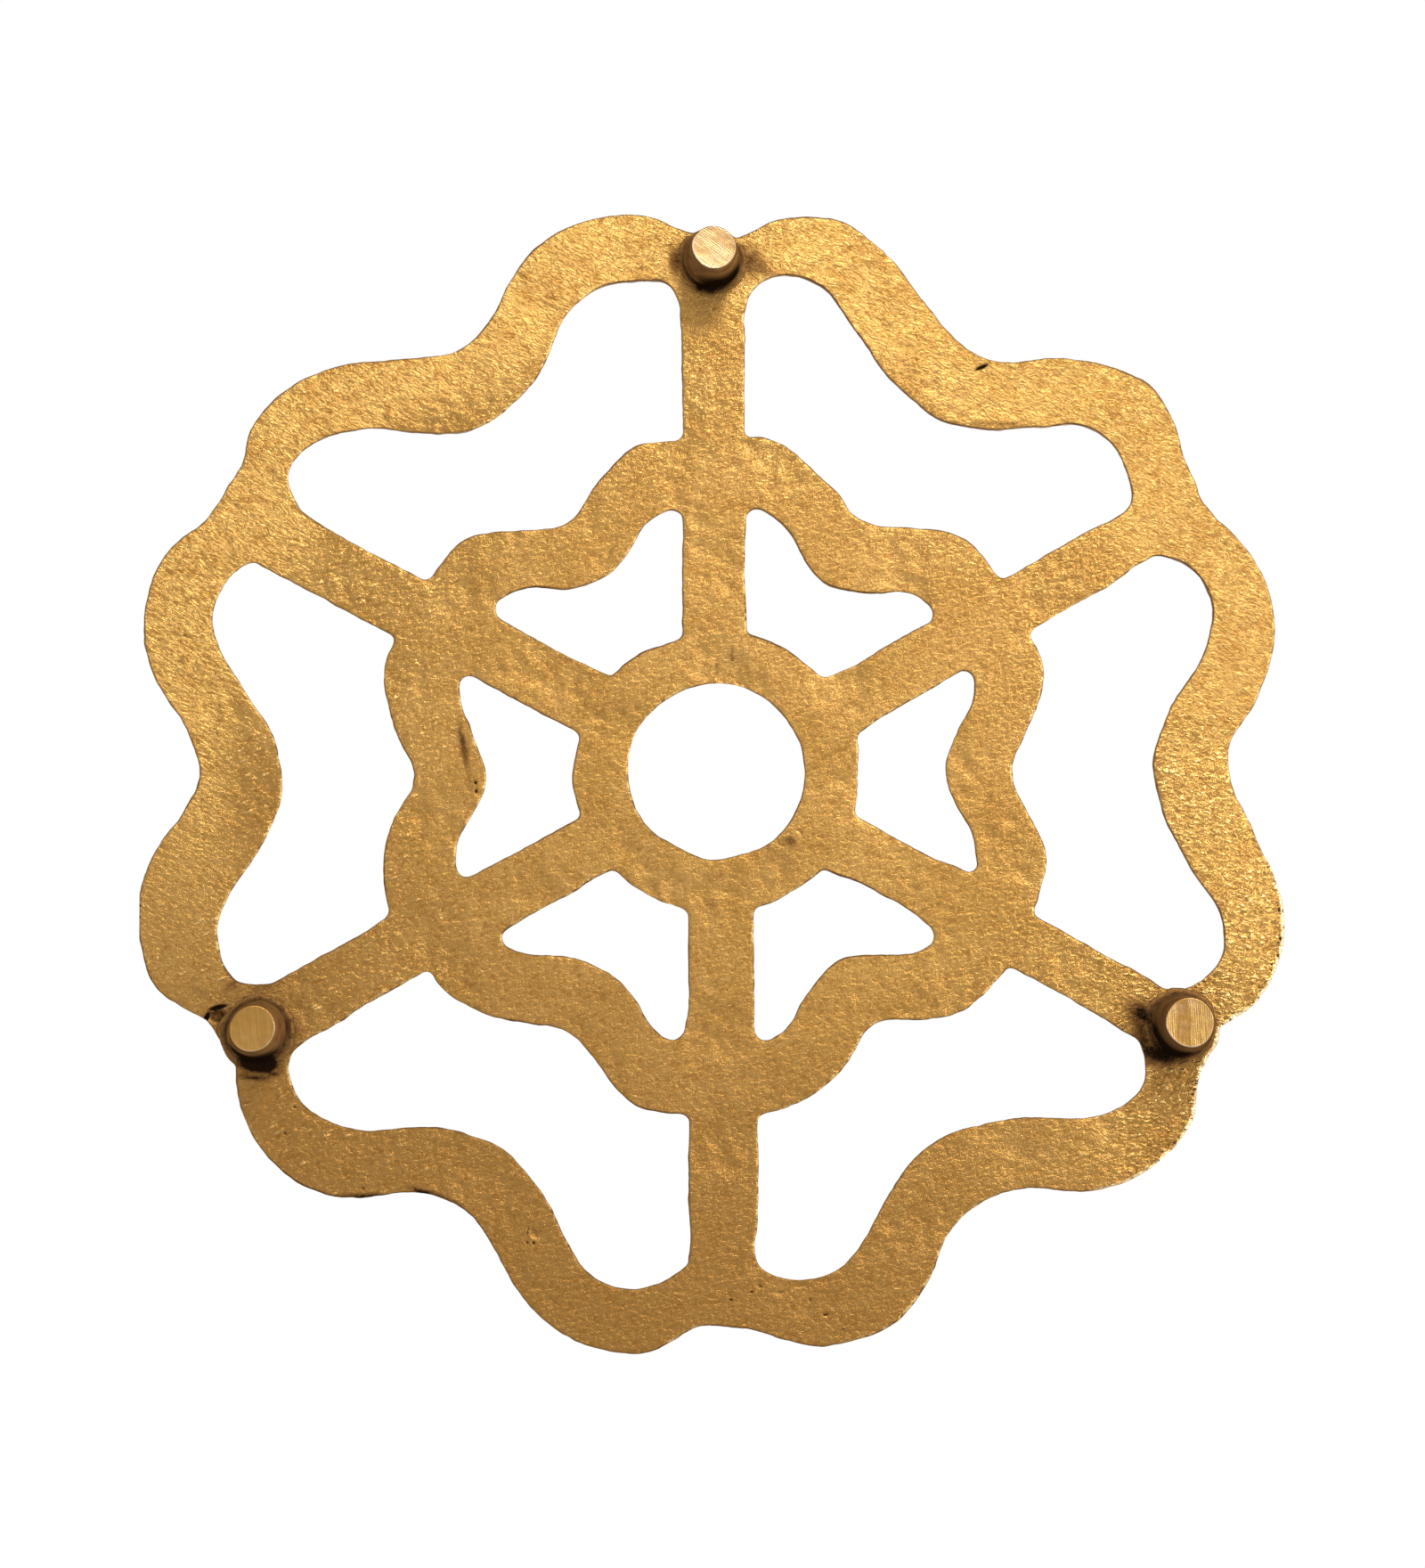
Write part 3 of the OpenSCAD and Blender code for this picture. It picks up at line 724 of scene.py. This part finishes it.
castFinish = {
    # linear colours
    "goldDeep": (0.334, 0.181, 0.047),
    "gold": (0.390, 0.219, 0.063),
    "shadedFront": (0.250, 0.129, 0.034),  # the front, smoother, and browner as painted shade
    "filed": (0.404, 0.234, 0.067),  # the back, gone over with a file
    "blotch": (0.230, 0.104, 0.020),
    "valley": (0.155, 0.064, 0.011),  # painted shade with patina, between the bumps
    "filedValleyShade": (0.215, 0.092, 0.016),
    "peakGlint": (0.80, 0.56, 0.25),  # painted highlight on the rubbed tops of the bumps
    # painted shade: a dark line along the edges
    "edge": (0.085, 0.036, 0.011),
    "litEdge": (0.78, 0.55, 0.24),
    "wornSheen": (0.86, 0.68, 0.38),  # bare outer edge on the left, lightened further as a painted highlight
    "pit": (0.05, 0.022, 0.006),
    "wall": (0.160, 0.080, 0.022),
    # brown of the burnt patches and of the painted shade beside the legs, then black of the soot and
    # the darkest painted shade
    "burntShade": (0.105, 0.048, 0.014),
    "sootShade": (0.012, 0.006, 0.003),
    # grain: size in millimetres, detail, roughness and distortion
    "clouds": (13, 3, 0.55),
    "blotches": (2.6, 3, 0.6, 0.6),
    "grit": (0.24, 2, 0.6),
    "wrinkles": (0.72, 3, 0.6, 0.7),
    "ridges": (0.75, 3, 0.62, 1.0),
    "bends": (0.8, 2, 0.5),
    "glints": (1.5, 3, 0.7),
    "pits": (0.55, 2, 0.6),
    "ragged": (0.8, 3, 0.8),
    # the way that grain runs: stretch and turn
    "wrinkleRun": ((0.75, 1.2, 1), 0.5),
    "ridgeRun": ((0.55, 1.2, 1), -0.42),
    "strokeRun": ((0.42, 1.3, 1), 0.35),
    "knobRun": ((0.62, 1.35, 1), 0.25),
    # scattered bumps: spacing, reach and share
    "strokes": (1.05, 0.5, 0.5),
    "knobs": (0.80, 0.6, 0.85),
    "knobBend": (1.1, 1.1, 0),
    # where each part of the plate starts and is full, in millimetres from the middle
    "filedOut": (66, 80),
    "filedBack": (-60, 30),
    "filedWander": 14.0,
    "knobbyLeft": (45, 75),
    "strokedRight": (25, 60),
    "ruggedLeft": (50, 78),
    "ruggedFront": (-22, 2),
    "frontShadeWay": (0.35, 1.1),  # to the right and to the front
    "frontShadeFrom": (0, 105),
    "calmWithin": (38, 60),
    "wornOut": (85.5, 87.5),
    "wornFront": (4, 16),
    # how far in from an edge each effect fades, millimetres, and how much grain frays it
    "edgeShadeFade": (0.06, 0.30),
    "litFade": (0.10, 0.42),
    "wornFade": (0.15, 0.6),
    "pitFade": (0.6, 1.7),
    "edgeShadeFray": 0.25,
    "litFray": 1.1,
    "wornFray": 1.6,
    # slopes: where a face stops being a wall, and where it faces down
    "wallSlope": (0.25, 0.7),
    "underSlope": (0.1, 0.5),
    # how strongly each shows: all over, and with the second number more of it in one part
    "filedShare": 0.8,
    "blotchShare": (0.26, 0.14),
    "valleyShare": (0.50, 0.30),
    "peakGlintShare": 0.5,
    "edgeShadeShare": (0.52, 0.40),
    "litShare": 0.75,
    "wornSheenShare": 0.9,
    "pitShare": 0.9,
    "wallShare": 0.5,
    "stainShadeRagged": (0.45, 1.1),
    # heights, as shares of the relief in millimetres
    "relief": 0.30,
    "wrinkleHeight": (0.55, -0.14),
    "strokeHeight": (0.05, 0.27),
    "knobHeight": (0.18, 0.30),
    "ridgeHeight": 0.88,
    "gritHeight": 0.08,
    "filedDepth": 0.85,
    # roughness, and what each part of the surface adds to it
    "rough": 0.30,
    "roughBy": {"rugged": -0.05, "calm": 0.06, "dents": 0.08, "shadedFront": 0.08, "wall": 0.12},
    "roughStain": 0.25,
    "roughEdge": 0.3,
}


def castZones(paint, look, spot, cloud):
    # parts of the plate that came out differently, and the front painted in shade, each from 0 to 1
    x, y = (paint.split(spot, axis) for axis in range(2))
    radius = paint.length(paint.place((1, 1, 0)))
    facing = paint.split(paint.node("ShaderNodeNewGeometry", output="Normal"), 2)
    out = radius + look["filedWander"] * (cloud - 0.5)
    knobby = (0 - x).above(*look["knobbyLeft"])
    right, front = look["frontShadeWay"]
    outer = radius.above(*look["wornOut"]) * knobby * (0 - y).above(*look["wornFront"])
    return {
        "wall": 1 - (facing * facing).above(*look["wallSlope"]),
        "filed": out.above(*look["filedOut"]) * y.above(*look["filedBack"]),
        "knobby": knobby,
        "stroked": x.above(*look["strokedRight"]),
        "rugged": (0 - x).above(*look["ruggedLeft"]) * (0 - y).above(*look["ruggedFront"]),
        # painted shade that darkens the plate towards the front
        "shadedFront": (x * right - y * front).above(*look["frontShadeFrom"]),
        "calm": 1 - radius.above(*look["calmWithin"]),
        "outer": outer * (0 - facing).above(*look["underSlope"]),
    }


def castGrain(paint, look, spot, zone):
    # what the sand and the file left, each from 0 to 1
    bends = paint.noise(spot, *look["bends"], output="Color")
    bent = paint.node("ShaderNodeVectorMath", {"operation": "MULTIPLY_ADD"},
                      {0: bends, 1: look["knobBend"], 2: spot})
    wrinkle = paint.noise(paint.place(*look["wrinkleRun"]), *look["wrinkles"])
    ridge = paint.noise(paint.place(*look["ridgeRun"]), *look["ridges"])
    return {
        "blotch": paint.noise(spot, *look["blotches"]),
        "grit": paint.noise(spot, *look["grit"]),
        "wrinkle": wrinkle,
        "ridge": ridge,
        "stroke": paint.dots(paint.place(*look["strokeRun"]), *look["strokes"]),
        "knob": paint.dots(paint.stretched(bent, *look["knobRun"]), *look["knobs"]),
        "dents": 1 - paint.blend(zone["filed"], wrinkle, ridge).above(0.36, 0.50),
    }


def castHeight(paint, look, zone, grain):
    strokes = grain["stroke"] * varied(look["strokeHeight"], zone["stroked"])
    knobs = grain["knob"] * varied(look["knobHeight"], zone["rugged"])
    sand = grain["wrinkle"] * varied(look["wrinkleHeight"], zone["calm"])
    sand = sand + paint.blend(zone["knobby"], strokes, knobs)
    ridges = grain["ridge"] * look["ridgeHeight"]
    height = paint.blend(zone["filed"] * look["filedDepth"], sand, ridges)
    return height + grain["grit"] * look["gritHeight"]


def castColour(paint, look, cloud, zone, grain):
    # gold with brown blotches, painted shade with patina between the bumps and a painted highlight on
    # top of them
    filed, rugged = zone["filed"], zone["rugged"]
    gold = paint.mix(cloud.above(0.3, 0.7), look["goldDeep"], look["gold"])
    # painted shade: browner towards the front
    gold = paint.mix(zone["shadedFront"], gold, look["shadedFront"])
    gold = paint.mix(filed * look["filedShare"], gold, look["filed"])
    brown = (1 - grain["blotch"].above(0.34, 0.56)) * varied(look["blotchShare"], filed)
    gold = paint.mix(brown, gold, look["blotch"])
    # painted shade with patina in the hollows between the bumps
    valley = paint.mix(filed, look["valley"], look["filedValleyShade"])
    deep = grain["dents"] * varied(look["valleyShare"], rugged.most(filed * 0.5))
    colour = paint.mix(deep, gold, valley)
    # painted highlight on the tops of the bumps
    glintPeaks = (grain["knob"] * grain["wrinkle"]).above(0.22, 0.42) * rugged
    glintPeaks = glintPeaks + (grain["stroke"] * grain["wrinkle"]).above(0.2, 0.5) * zone["stroked"] * 0.5
    return paint.mix(glintPeaks * look["peakGlintShare"], colour, look["peakGlint"])


def edged(paint, look, spot, cloud, zone, grain, colour):
    # painted shade as dark edges, a painted highlight where they catch the light, and bare and pitted
    # round the outside, with a painted highlight on the bare rim
    far, outer = paint.own("rimFar"), zone["outer"]
    # painted shade along the edges, broken up by the clouds
    edge = 1 - (far + look["edgeShadeFray"] * (grain["grit"] - 0.5)).above(*look["edgeShadeFade"])
    edge = edge * (1 - outer) * varied(look["edgeShadeShare"], cloud.above(0.4, 0.6))
    lit = 1 - (far + look["litFray"] * (grain["grit"] - 0.5)).above(*look["litFade"])
    lit = lit * paint.own("rimLight") * paint.noise(spot, *look["glints"]).above(0.44, 0.58)
    # bare worn rim round the outside, painted bright as a highlight too
    wornSheen = 1 - (far + look["wornFray"] * (grain["blotch"] - 0.5)).above(*look["wornFade"])
    pits = 1 - far.above(*look["pitFade"])
    pits = pits * outer * paint.noise(spot, *look["pits"]).above(0.57, 0.63)
    colour = paint.mix(edge * (1 - lit), colour, look["edge"])
    colour = paint.mix(lit * look["litShare"], colour, look["litEdge"])
    colour = paint.mix(wornSheen * outer * look["wornSheenShare"], colour, look["wornSheen"])
    return edge, paint.mix(pits * look["pitShare"], colour, look["pit"])


def castBrass(look):
    paint = Shader("castBrass")
    spot = paint.place()
    cloud = paint.noise(spot, *look["clouds"])
    zone = castZones(paint, look, spot, cloud)
    grain = castGrain(paint, look, spot, zone)
    colour = castColour(paint, look, cloud, zone, grain)
    edge, colour = edged(paint, look, spot, cloud, zone, grain, colour)
    colour = paint.mix(zone["wall"] * look["wallShare"], colour, look["wall"])
    # burnt patches, soot and flaws, with painted shade beside the legs
    stainShade = paint.own("stainShade") * varied(look["stainShadeRagged"], paint.noise(spot, *look["ragged"]))
    colour = paint.mix(stainShade.above(0.05, 0.9), colour, look["burntShade"])
    colour = paint.mix(stainShade.above(0.75, 1.15), colour, look["sootShade"])
    rough, surface = look["rough"], {**zone, **grain}
    for part, change in look["roughBy"].items():
        rough = rough + change * surface[part]
    rough = rough + (look["roughStain"] * stainShade.above(0.1, 1)).most(look["roughEdge"] * edge)
    height = castHeight(paint, look, zone, grain)
    return paint.finish(**{"Base Color": colour, "Metallic": 1.0, "Roughness": rough,
                           "Normal": paint.bump(height, look["relief"])})


castPlate(plateSetup, castBrass(castFinish))
print("cast plate made")


# legs

legSetup = {
    # millimetres and degrees: radii at the tip and at the plate, how far out of round and which way,
    # the way and depth of the saw marks, the colours of the tip, the side and strength of its bright
    # burr with its painted highlight, the side painted dark with soot and shade, and how much darker
    # the sides are
    "leg_back": {"name": "legBack", "tip": 3.47, "root": 4.51, "oval": 0.030, "turn": 0.4, "seed": 5,
                 "scratch": 53, "bright": (0.54, 0.37, 0.19), "dull": (0.34, 0.20, 0.080),
                 "lines": 0.8, "rosy": 0.3, "burrGlint": -45, "rim": 1.0,
                 "sootShade": (-0.4, -0.9), "darkerSides": 0.0},
    "leg_front_left": {"name": "legFrontLeft", "tip": 3.88, "root": 4.80, "oval": 0.022, "turn": 1.2,
                       "seed": 6, "scratch": 3, "bright": (0.47, 0.300, 0.105),
                       "dull": (0.27, 0.140, 0.036), "lines": 0.8, "rosy": 0.22,
                       "burrGlint": -60, "rim": 0.5, "sootShade": (0.6, -0.8), "darkerSides": 0.35},
    "leg_front_right": {"name": "legFrontRight", "tip": 3.65, "root": 4.80, "oval": 0.028, "turn": 2.3,
                        "seed": 7, "scratch": 6, "bright": (0.37, 0.205, 0.055),
                        "dull": (0.300, 0.158, 0.038), "lines": 0.4, "rosy": 0.05,
                        "burrGlint": -130, "rim": 0.3, "sootShade": (0.1, -1.0), "darkerSides": 0.2},
}

legForm = {
    # millimetres, the same for all legs
    "around": 144,  # points round the leg
    "rows": 44,  # rows up the side
    "tipRows": 22,  # rows across the tip
    "dish": (0.06, 0.05),  # height of the middle of the tip, and its fall to the rim
    "bevel": ((0.22, 0.005), (0.08, 0.05), (0, 0.25)),  # in from the side, and up
    "seat": 0.4,  # how far it goes into the plate
    "seatShare": 0.6,  # radius of the last ring there, as a share of the root's
    "corners": 0.010,  # three soft corners, as a share of the radius
    # size, height and seed of the unevenness: shares of the radius, and millimetres on the tip
    "sideLayers": ((5, 0.006, 40), (1.6, 0.0025, 50)),
    "tipLayers": ((1.6, 0.006, 60),),
    "burrFrom": (0.91, 0.06),  # share of the radius where the burr starts, and its width
    "burrBelow": 0.3,
    "burrGlintGain": 1.5,  # how soon the painted highlight is full on its side
}


def middle(node):
    low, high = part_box(node)
    return ((low[0] + high[0]) / 2 / mm, (low[1] + high[1]) / 2 / mm)


def lathe(name, profile, centre, steps, closed=False):
    # turned form from (radius, height) pairs, with a cap where the radius is 0
    turns = [2 * math.pi * n / steps for n in range(steps)]
    builder = bmesh.new()
    rings = []
    for radius, height in profile:
        rings.append([builder.verts.new((centre[0] + radius * math.cos(turn),
                                         centre[1] + radius * math.sin(turn), height))
                      for turn in (turns if radius else turns[:1])])
    pairs = list(zip(rings, rings[1:]))
    if closed:
        pairs.append((rings[-1], rings[0]))
    for low, high in pairs:
        for n in range(steps):
            m = (n + 1) % steps
            corners = [low[n % len(low)], low[m % len(low)], high[m % len(high)], high[n % len(high)]]
            kept = [v for i, v in enumerate(corners) if v not in corners[:i]]
            if len(kept) > 2:
                builder.faces.new(kept)
    bmesh.ops.scale(builder, vec=(mm, mm, mm), verts=builder.verts)
    bmesh.ops.recalc_face_normals(builder, faces=builder.faces)
    mesh = bpy.data.meshes.new(name)
    builder.to_mesh(mesh)
    builder.free()
    return mesh


def legProfile(setup, form, plateFace):
    tip, root = setup["tip"], setup["root"]
    rise, fall = form["dish"]
    across, up, top = form["tipRows"], form["bevel"][-1][1], plateFace + form["seat"]
    profile = [(tip * n / across, rise - fall * (n / across) ** 3) for n in range(across - 1)]
    profile += [(tip - inset, height) for inset, height in form["bevel"]]
    for n in range(1, form["rows"] + 1):
        z = up + (top - up) * n / form["rows"]
        profile.append((tip + (root - tip) * z / plateFace, z))
    return profile + [(root * form["seatShare"], top), (0, top)]


def leg(node, setup, form, material):
    centre = middle(node)
    profile = legProfile(setup, form, boxOf("rose_grille")[0][2])
    mesh = lathe(setup["name"], profile, centre, form["around"])
    points = read(mesh)
    x, y = points[:, 0] - centre[0], points[:, 1] - centre[1]
    angle, seed = np.arctan2(y, x), setup["seed"]
    grow = 1 + setup["oval"] * np.cos(2 * (angle - setup["turn"])) - setup["oval"]
    grow += form["corners"] * np.cos(3 * angle + seed) + uneven(points, form["sideLayers"], seed)
    points[:, 0], points[:, 1] = centre[0] + x * grow, centre[1] + y * grow
    low = 1 - np.clip(points[:, 2], 0, 1)
    points[:, 2] += low * uneven(points, form["tipLayers"], seed)
    points[:, 2] = np.clip(points[:, 2], 0, None)
    write(mesh, points)
    start, wide = form["burrFrom"]
    rim = np.clip((np.hypot(x, y) / setup["tip"] - start) / wide, 0, 1)
    rim = rim * (points[:, 2] < form["burrBelow"])
    # the burr is painted bright as a highlight on one side only
    side = form["burrGlintGain"] * np.cos(angle - math.radians(setup["burrGlint"]))
    keep(mesh, "burrGlint", rim * np.clip(side, 0, 1))
    show(setup["name"], mesh, material, node)


legFinish = {
    # linear colours
    "side": (0.265, 0.130, 0.040),
    "sideDeep": (0.150, 0.071, 0.023),
    "darkerSides": (0.060, 0.028, 0.009),
    "sootShade": (0.013, 0.007, 0.003),
    "rosy": (0.50, 0.35, 0.30),
    "burrGlint": (0.82, 0.70, 0.52),
    # grain: size in millimetres, detail and roughness
    "scratches": (0.5, 3, 0.6),
    "wander": (1.6, 2, 0.5),
    "grain": (0.9, 3, 0.5),
    "patches": (3, 3, 0.55),
    # stretch along the saw marks
    "scratchRun": (4.0, 0.12, 0.5),
    "wanderRun": (1, 0.1, 1),
    "teeth": {"Scale": 1.0, "Distortion": 1.6, "Detail": 2.0, "Detail Scale": 0.4},
    "scratchShare": 0.75,
    "teethShare": 0.22,
    "sawLift": 0.02,
    # soot and painted shade: heights where it starts and is full on the side painted dark, and all
    # round at the plate
    "sootShadeUp": (1, 11),
    "sootRoot": (11, 14.5),
    "sootRootShare": 0.4,
    "sootFray": 0.5,
    "grainHeight": 0.5,
    "relief": 0.05,  # millimetres
    "rough": (0.75, -0.38),  # all over, and what the tip adds
}


def sawMarks(paint, turn, look):
    # fine scratches, and with them the coarser marks of the teeth here and there
    along = paint.place(turn=math.radians(turn))
    fine = paint.noise(paint.stretched(along, look["scratchRun"]), *look["scratches"])
    wander = paint.noise(paint.stretched(along, look["wanderRun"]), *look["wander"])
    teeth = paint.node("ShaderNodeTexWave", {"wave_type": "BANDS", "bands_direction": "X"},
                       {"Vector": along, **look["teeth"]}, output="Fac")
    coarse = teeth * look["teethShare"] * wander.above(0.35, 0.6)
    return fine, fine * look["scratchShare"] + coarse + look["sawLift"]


def legSides(paint, setup, look, spot, out, patch):
    # soot with painted shade: dark on the side that faces the given way, growing towards the plate, and
    # all round next to the plate
    right, back = setup["sootShade"]
    front = (right * paint.split(out, 0) + back * paint.split(out, 1)).above(0.1, 1.0)
    tall = paint.split(spot, 2)
    sootShade = tall.above(*look["sootRoot"]) * look["sootRootShare"]
    sootShade = (front * tall.above(*look["sootShadeUp"])).most(sootShade) + (patch - 0.5) * look["sootFray"]
    sides = paint.mix(patch.above(0.35, 0.65), look["sideDeep"], look["side"])
    # how much darker the sides are on this leg
    sides = paint.mix(setup["darkerSides"], sides, look["darkerSides"])
    return paint.mix(sootShade.above(0.15, 0.9), sides, look["sootShade"])


def legBrass(setup, look):
    paint = Shader(setup["name"])
    spot = paint.place()
    out = paint.node("ShaderNodeNewGeometry", output="Normal")
    tip = (0 - paint.split(out, 2)).above(0.6, 0.9)
    fine, scratch = sawMarks(paint, setup["scratch"], look)
    patch = paint.noise(spot, *look["patches"])
    sides = legSides(paint, setup, look, spot, out, patch)
    bright = paint.mix(scratch.above(0.40, 0.60), setup["dull"], setup["bright"])
    rosy = patch.above(0.48, 0.66) * (fine + 0.3) * setup["rosy"]
    bright = paint.mix(rosy, bright, look["rosy"])
    # bright burr round the tip, with a painted highlight on one side
    bright = paint.mix(paint.own("burrGlint") * setup["rim"], bright, look["burrGlint"])
    grain = paint.noise(spot, *look["grain"])
    height = tip * scratch * setup["lines"] + (1 - tip) * grain * look["grainHeight"]
    return paint.finish(**{"Base Color": paint.mix(tip, sides, bright), "Metallic": tip,
                           "Roughness": varied(look["rough"], tip), "Specular IOR Level": 0.0,
                           "Normal": paint.bump(height, look["relief"])})


for node, setup in legSetup.items():
    leg(node, setup, legForm, legBrass(setup, legFinish))
print("legs made")


# braze rings

brazeSetup = {
    # outer radius in millimetres
    "braze_back": {"name": "brazeBack", "leg": "leg_back", "outer": 5.1, "seed": 3},
    "braze_front_left": {"name": "brazeFrontLeft", "leg": "leg_front_left", "outer": 5.8, "seed": 4},
    "braze_front_right": {"name": "brazeFrontRight", "leg": "leg_front_right", "outer": 5.8, "seed": 9},
}

brazeForm = {
    # millimetres, the same for all rings
    "around": 144,  # points round the ring
    "rows": 10,  # rows on its hollow outer face
    "height": 1.4,
    "bite": 0.12,  # how far the face starts inside the leg
    "lip": 0.1,  # how far its top lies inside that
    "inner": 0.4,  # and its hidden wall
    "sunk": 0.25,  # how far it goes into the plate
    "under": 0.2,  # how far it draws in there
    "layers": ((5.5, 0.22, 70), (1.8, 0.08, 80)),  # size, height and seed of its lumps
    "most": 0.5,  # the furthest that they reach
}


def brazeProfile(form, foot, outer, plateFace):
    lip, height, sunk = form["lip"], form["height"], plateFace + form["sunk"]
    profile = [(foot - form["inner"], sunk), (foot - form["inner"], plateFace - height + lip)]
    for n in range(form["rows"] + 1):
        a = math.pi / 2 * n / form["rows"]
        profile.append((foot - lip + (outer - foot + lip) * (1 - math.cos(a)),
                        plateFace - height * (1 - math.sin(a))))
    return profile + [(outer - form["under"], sunk)]


def brazeRing(node, setup, form, material):
    centre, plateFace = middle(node), boxOf("rose_grille")[0][2]
    foot = legSetup[setup["leg"]]["root"] - form["bite"]
    profile = brazeProfile(form, foot, setup["outer"], plateFace)
    mesh = lathe(setup["name"], profile, centre, form["around"], closed=True)
    points = read(mesh)
    x, y = points[:, 0] - centre[0], points[:, 1] - centre[1]
    far = np.hypot(x, y)
    share = np.clip((far - foot) / (setup["outer"] - foot), 0, 1)
    push = share * uneven(points, form["layers"], setup["seed"])
    push = np.clip(push, -form["most"], form["most"])
    points[:, 0] += x / far * push
    points[:, 1] += y / far * push
    write(mesh, points)
    keep(mesh, "stainShade", stainedAndShaded(points, plateFace))
    keep(mesh, "out", share)
    show(setup["name"], mesh, material, node)


brazeFinish = {
    # linear colours
    "brown": (0.150, 0.076, 0.027),
    "brownDeep": (0.060, 0.028, 0.011),
    "outer": (0.190, 0.094, 0.027),  # where it runs out on the plate
    "sootShade": (0.012, 0.006, 0.003),
    # grain: size in millimetres, detail, roughness and distortion
    "lumps": (0.8, 3, 0.6, 0.6),
    "patches": (2.6, 3, 0.55),
    "outerFray": 1.4,
    "stainShadeRagged": (0.25, 1.5),
    "metal": 0.7,
    "rough": 0.5,
    "relief": 0.28,  # millimetres
}


def brazeMetal(look):
    paint = Shader("brazeMetal")
    spot = paint.place()
    lumps = paint.noise(spot, *look["lumps"])
    patch = paint.noise(spot, *look["patches"]).above(0.35, 0.65)
    brown = paint.mix(patch, look["brownDeep"], look["brown"])
    outer = (paint.own("out") + look["outerFray"] * (lumps - 0.5)).above(0.1, 0.85)
    brown = paint.mix(outer, brown, look["outer"])
    # stains, soot and painted shade beside the legs, as on the plate
    stainShade = paint.own("stainShade") * varied(look["stainShadeRagged"], lumps)
    colour = paint.mix(stainShade.above(0.6, 1.25), brown, look["sootShade"])
    return paint.finish(**{"Base Color": colour, "Metallic": look["metal"] * outer,
                           "Roughness": look["rough"], "Specular IOR Level": 0.0,
                           "Normal": paint.bump(lumps, look["relief"])})


brazePaint = brazeMetal(brazeFinish)
for node, setup in brazeSetup.items():
    brazeRing(node, setup, brazeForm, brazePaint)
print("braze rings made")
